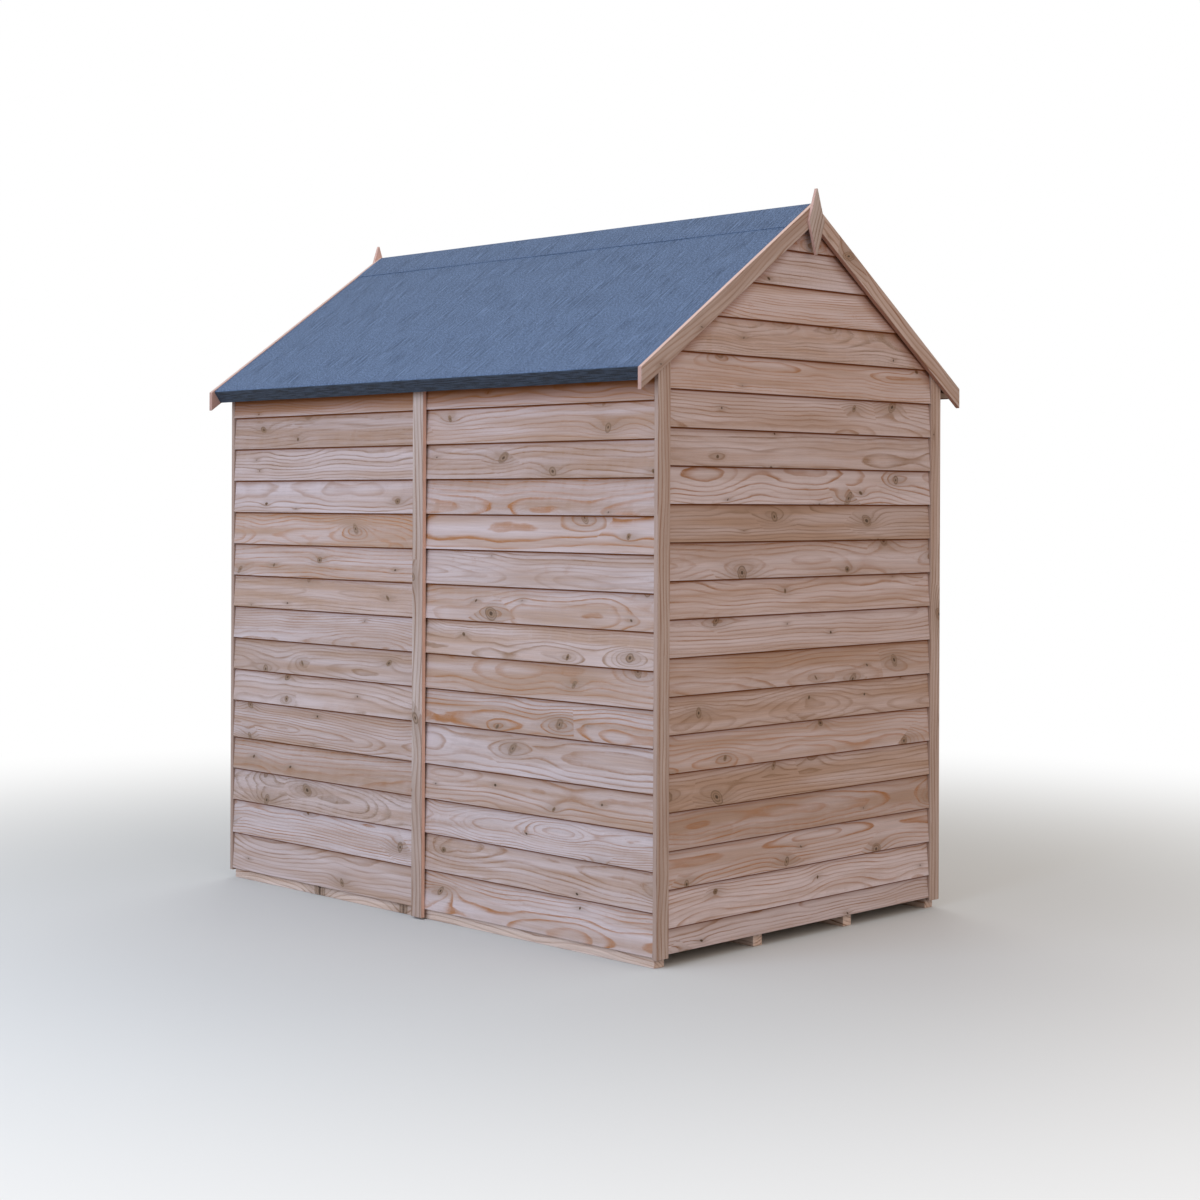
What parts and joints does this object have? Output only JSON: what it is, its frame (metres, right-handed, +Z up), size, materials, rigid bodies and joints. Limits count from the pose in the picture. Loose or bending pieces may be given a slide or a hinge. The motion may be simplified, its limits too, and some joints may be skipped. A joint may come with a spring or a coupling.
{
  "type": "garden shed",
  "caption": "Apex wooden garden shed clad in overlapping boards, with a felted pitched roof, barge boards, diamond finials and a single ledged door.",
  "frame": {"origin": "on the ground under the middle of the shed", "axes": "+X right as seen from the door, +Y from the door towards the back gable, +Z up"},
  "size_m": [1.339, 1.872, 2.014],
  "materials": {
    "cladding": "untreated planed softwood overlap boards with orange-brown grain and knots",
    "trim": "untreated planed softwood strip",
    "framing": "sawn softwood batten",
    "sheet": "strand board",
    "felt": "slate blue mineral roofing felt",
    "hinge": "black japanned steel"
  },
  "bodies": {
    "root": {"left_front_cladding": "cladding", "left_back_cladding": "cladding", "right_front_cladding": "cladding", "right_back_cladding": "cladding", "back_gable_cladding": "cladding", "door_left_cladding": "cladding", "door_right_cladding": "cladding", "door_head_cladding": "cladding", "door_boards": "cladding", "left_cover_strip": "trim", "right_cover_strip": "trim", "front_left_corner_strip": "trim", "front_right_corner_strip": "trim", "back_left_corner_strip": "trim", "back_right_corner_strip": "trim", "door_turn_button": "trim", "front_left_barge_board": "trim", "front_right_barge_board": "trim", "back_left_barge_board": "trim", "back_right_barge_board": "trim", "front_finial": "trim", "back_finial": "trim", "floor_bearers": "framing", "left_wall_studs": "framing", "right_wall_studs": "framing", "left_wall_rails": "framing", "right_wall_rails": "framing", "back_gable_studs": "framing", "back_gable_rail": "framing", "back_gable_rafters": "framing", "front_gable_studs": "framing", "front_gable_rails": "framing", "front_gable_rafters": "framing", "door_ledges": "framing", "door_braces": "framing", "left_eave_rail": "framing", "right_eave_rail": "framing", "ridge_beam": "framing", "floor_deck": "sheet", "left_roof_board": "sheet", "right_roof_board": "sheet", "left_roof_felt": "felt", "right_roof_felt": "felt", "ridge_felt": "felt", "upper_door_hinge": "hinge", "lower_door_hinge": "hinge"}
  },
  "joints": []
}
